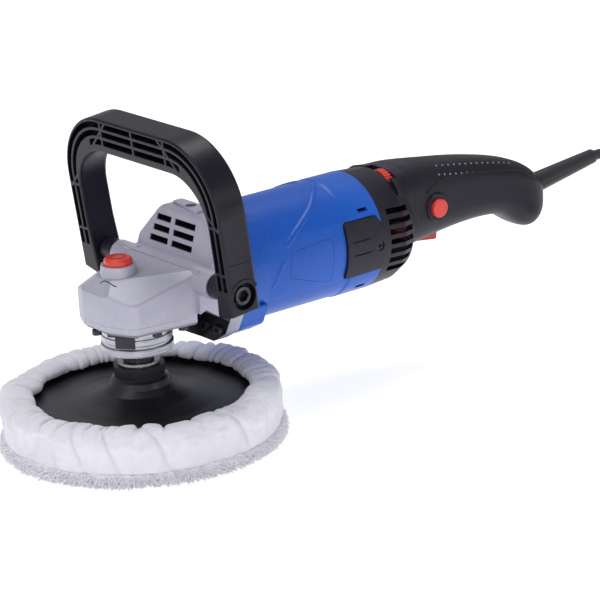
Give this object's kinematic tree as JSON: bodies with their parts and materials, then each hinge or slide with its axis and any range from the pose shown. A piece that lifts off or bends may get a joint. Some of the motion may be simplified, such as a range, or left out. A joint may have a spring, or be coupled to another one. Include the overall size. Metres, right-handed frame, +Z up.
{
  "type": "rotary polisher",
  "caption": "Corded rotary car polisher with a loop front handle, in-line rear grip, bevel gear head and a round pad under a tied white bonnet.",
  "frame": {"origin": "on the spindle axis, in the plane of the polishing face of the bonnet", "axes": "+Z up along the spindle axis, +X from the gear head towards the rear grip, +Y to the far side of the tool"},
  "size_m": [0.6803, 0.3134, 0.2278],
  "materials": {
    "case_grey": "satin cast, painted light grey",
    "blue_plastic": "moulded, semi-gloss, fine texture",
    "black_plastic": "fine moulded texture",
    "soft_black": "matt overmoulded rubber with raised dots",
    "red_plastic": "gloss moulded",
    "machined_aluminium": "turned",
    "steel": "ground",
    "black_steel": "black oxide",
    "gear_steel": "oiled",
    "laminations": "stamped and lacquered",
    "copper": "enamelled copper",
    "carbon": "pressed carbon",
    "brass": "formed sheet",
    "plate_rubber": "moulded, slightly glossy",
    "white_cloth": "white woven band and wool pile",
    "cord_rubber": "matt"
  },
  "bodies": {
    "housing": {"gear_head": "case_grey", "gearcase_cover": "case_grey", "bearing_collar": "machined_aluminium", "lower_bearing": "steel", "top_bush": "brass", "dust_seal": "plate_rubber", "guard_key": "black_steel", "cover_screws": "black_steel", "lock_spring": "steel", "motor_housing": "blue_plastic", "brush_cover_near": "black_plastic", "brush_cover_far": "black_plastic", "brush_cover_screws": "steel", "front_motor_bearing": "steel", "rear_motor_bearing": "steel", "field_core": "laminations", "field_winding_front": "copper", "field_winding_rear": "copper", "air_baffle": "black_plastic", "rear_bearing_bracket": "black_plastic", "carbon_brush_near": "carbon", "carbon_brush_far": "carbon", "brush_holder_near": "brass", "brush_holder_far": "brass", "motor_flange_screws": "steel", "rear_cover": "black_plastic", "grip_half_near": "black_plastic", "grip_half_far": "black_plastic", "grip_overmould": "soft_black", "trigger_pin": "steel", "speed_control": "black_plastic", "switch_block": "black_plastic", "cord_clamp": "black_plastic", "loop_handle": "black_plastic", "handle_bolts": "black_steel", "handle_spacers": "black_plastic", "strain_relief": "cord_rubber", "cord": "cord_rubber", "cord_coil": "cord_rubber", "cord_tail": "cord_rubber", "plug": "cord_rubber", "plug_pins": "brass"},
    "spindle_assembly": {"spindle": "steel", "gear_retaining_ring": "steel", "crown_gear": "gear_steel", "backing_plate": "plate_rubber", "plate_nut": "steel", "bonnet": "white_cloth"},
    "armature": {"armature_shaft": "steel", "armature_core": "laminations", "armature_winding_front": "copper", "armature_winding_rear": "copper", "commutator": "copper", "cooling_fan": "black_plastic", "pinion_gear": "gear_steel"},
    "lock_button": {"spindle_lock_button": "red_plastic"},
    "trigger": {"trigger": "red_plastic"},
    "lock_on_button": {"lock_on_button": "red_plastic"},
    "speed_dial": {"speed_dial": "red_plastic"}
  },
  "joints": [
    {"name": "spindle_spin", "type": "hinge", "parent": "housing", "child": "spindle_assembly", "pos_m": [0, 0, 0.054], "axis": [0, 0, 1], "continuous": true},
    {"name": "armature_spin", "type": "hinge", "parent": "housing", "child": "armature", "pos_m": [0.12, 0, 0.111], "axis": [1, 0, 0], "continuous": true},
    {"name": "spindle_lock", "type": "slide", "parent": "housing", "child": "lock_button", "axis": [0, 0, -1], "range_m": [0, 0.003], "stiffness_N_per_m": 600, "springref_m": -0.002, "deforming": ["lock_spring"]},
    {"name": "trigger_pull", "type": "hinge", "parent": "housing", "child": "trigger", "pos_m": [0.248, 0, 0.105], "axis": [0, -1, 0], "range_deg": [0, 10], "stiffness_Nm_per_rad": 0.6, "springref_deg": -11.46},
    {"name": "lock_on_press", "type": "slide", "parent": "housing", "child": "lock_on_button", "axis": [0, 1, 0], "range_m": [0, 0.003], "stiffness_N_per_m": 500, "springref_m": -0.001},
    {"name": "speed_dial_turn", "type": "hinge", "parent": "housing", "child": "speed_dial", "pos_m": [0.219, -0.008, 0.1388], "axis": [1, 0, 0], "range_deg": [0, 270]}
  ],
  "couplings": [
    {"joint": "armature_spin", "follows": "spindle_spin", "ratio": 4}
  ]
}
